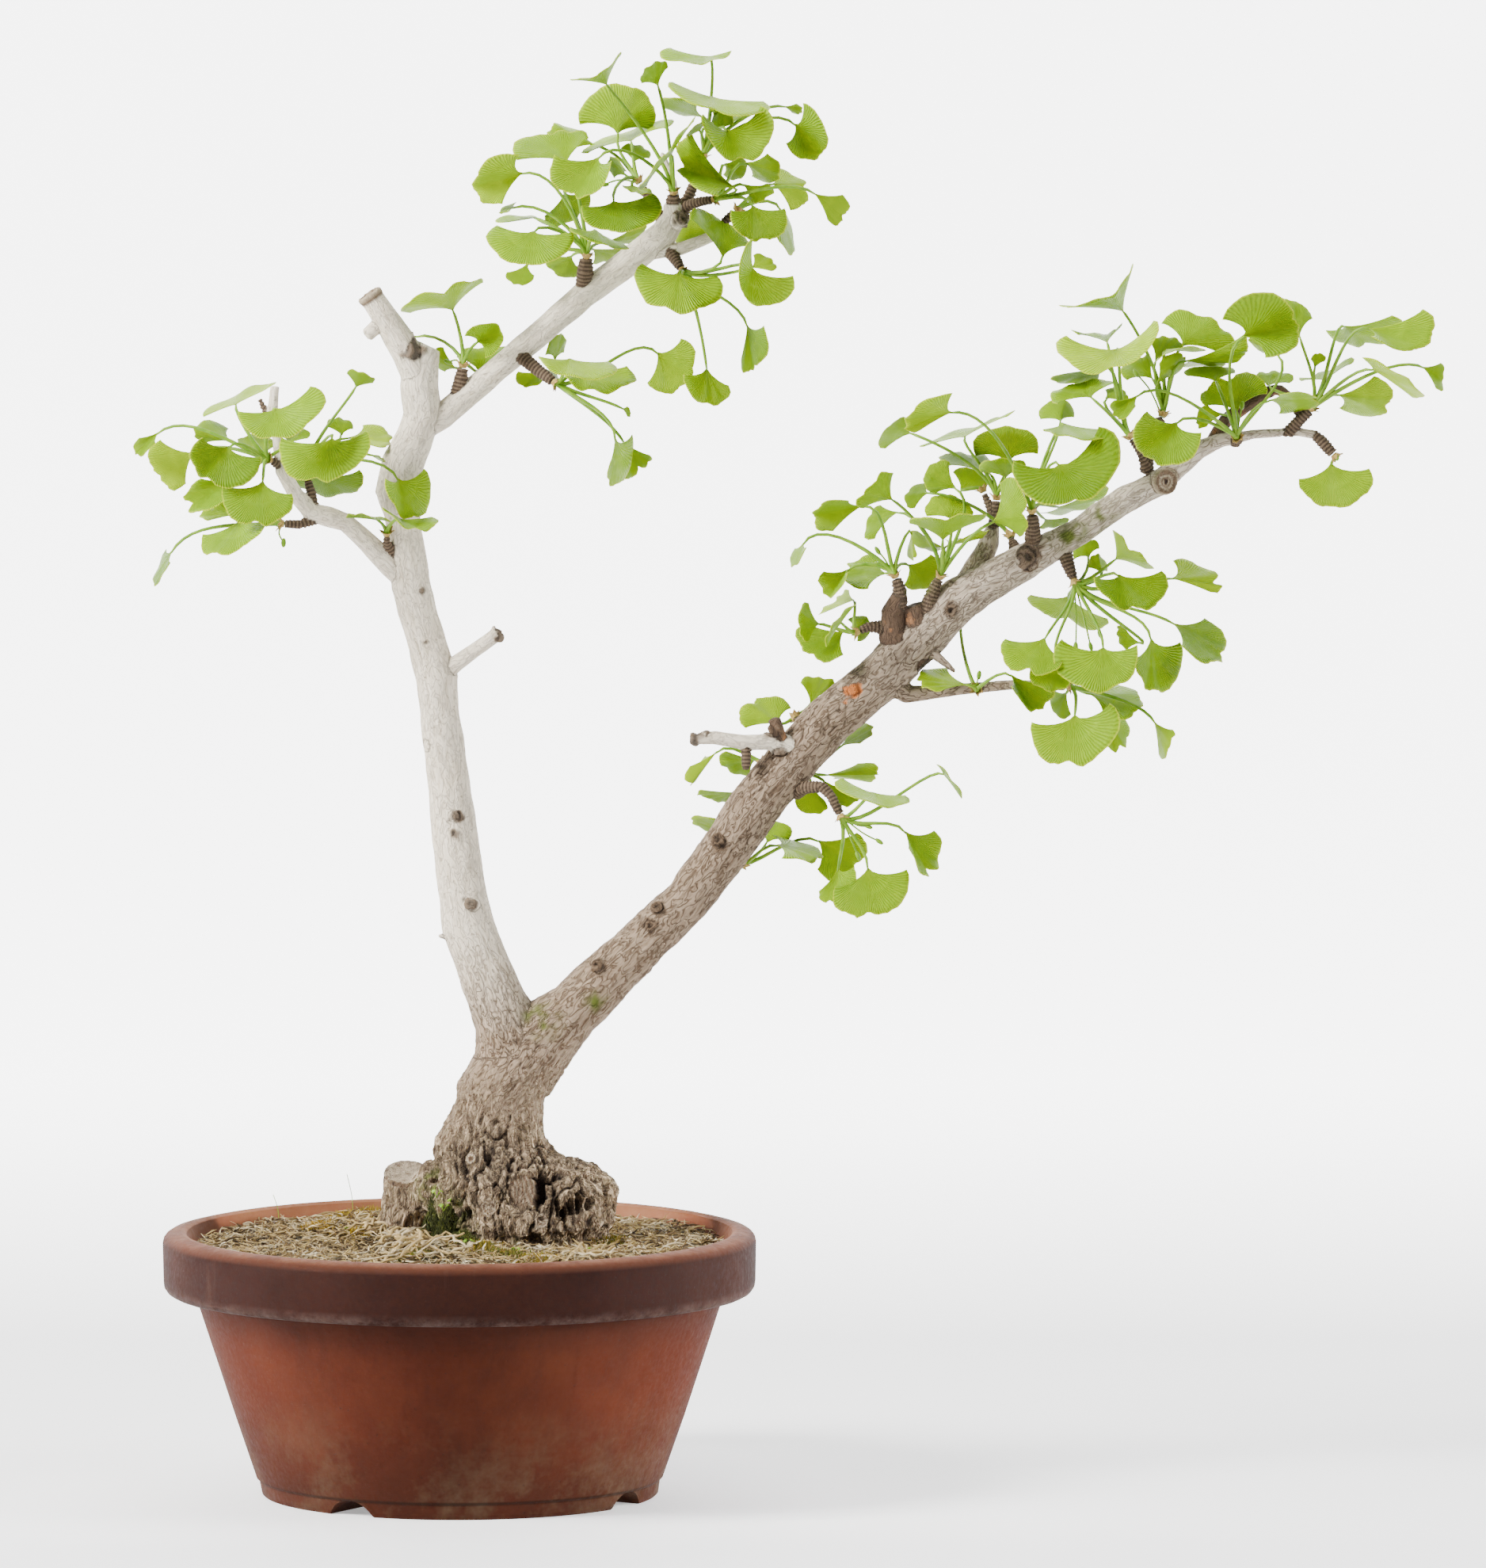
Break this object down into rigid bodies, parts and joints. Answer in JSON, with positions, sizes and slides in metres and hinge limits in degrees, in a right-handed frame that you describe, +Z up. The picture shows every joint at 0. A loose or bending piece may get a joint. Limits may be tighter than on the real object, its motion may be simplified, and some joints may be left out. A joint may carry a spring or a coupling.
{
  "type": "ginkgo bonsai",
  "caption": "Ginkgo bonsai with two leaning trunks from a gnarled swollen foot and heads of fan-shaped leaves, in a round collared terracotta bowl.",
  "frame": {"origin": "centre of the pot's underside, on the surface that it stands on", "axes": "+Z up, +X to the right of the viewer towards the long leaning trunk's tip, +Y away from the viewer"},
  "size_m": [0.7665, 0.35, 0.8505],
  "materials": {
    "terracotta": "matte",
    "soil": "matte",
    "bark": "matte",
    "leaf": "satin"
  },
  "bodies": {
    "root": {"pot": "terracotta", "soil": "soil", "wood": "bark", "leaves_left_tip": "leaf", "leaves_left_low": "leaf", "leaves_left_middle": "leaf", "leaves_left_inner": "leaf", "leaves_fork_stub": "leaf", "leaves_arm_under": "leaf", "leaves_arm_upper": "leaf", "leaves_crown_end": "leaf", "leaves_crown_left": "leaf", "leaves_crown_top": "leaf", "leaves_crown_right": "leaf", "leaves_crown_back": "leaf", "leaves_crown_under": "leaf", "leaves_front_low": "leaf", "leaves_trunk_low": "leaf", "leaves_trunk_middle": "leaf", "leaves_trunk_back": "leaf", "leaves_trunk_back_high": "leaf", "leaves_burnt_left": "leaf", "leaves_burnt_top": "leaf", "leaves_burnt_right": "leaf", "leaves_back_top": "leaf", "leaves_back_twig": "leaf", "leaves_back_low": "leaf", "leaves_arm_front": "leaf", "leaves_upper_back": "leaf", "leaves_upper_twig": "leaf", "leaves_end_front": "leaf", "leaves_end_top": "leaf", "leaves_tip": "leaf", "leaves_under_front": "leaf", "leaves_low_middle": "leaf", "leaves_low_tip": "leaf"}
  },
  "joints": []
}
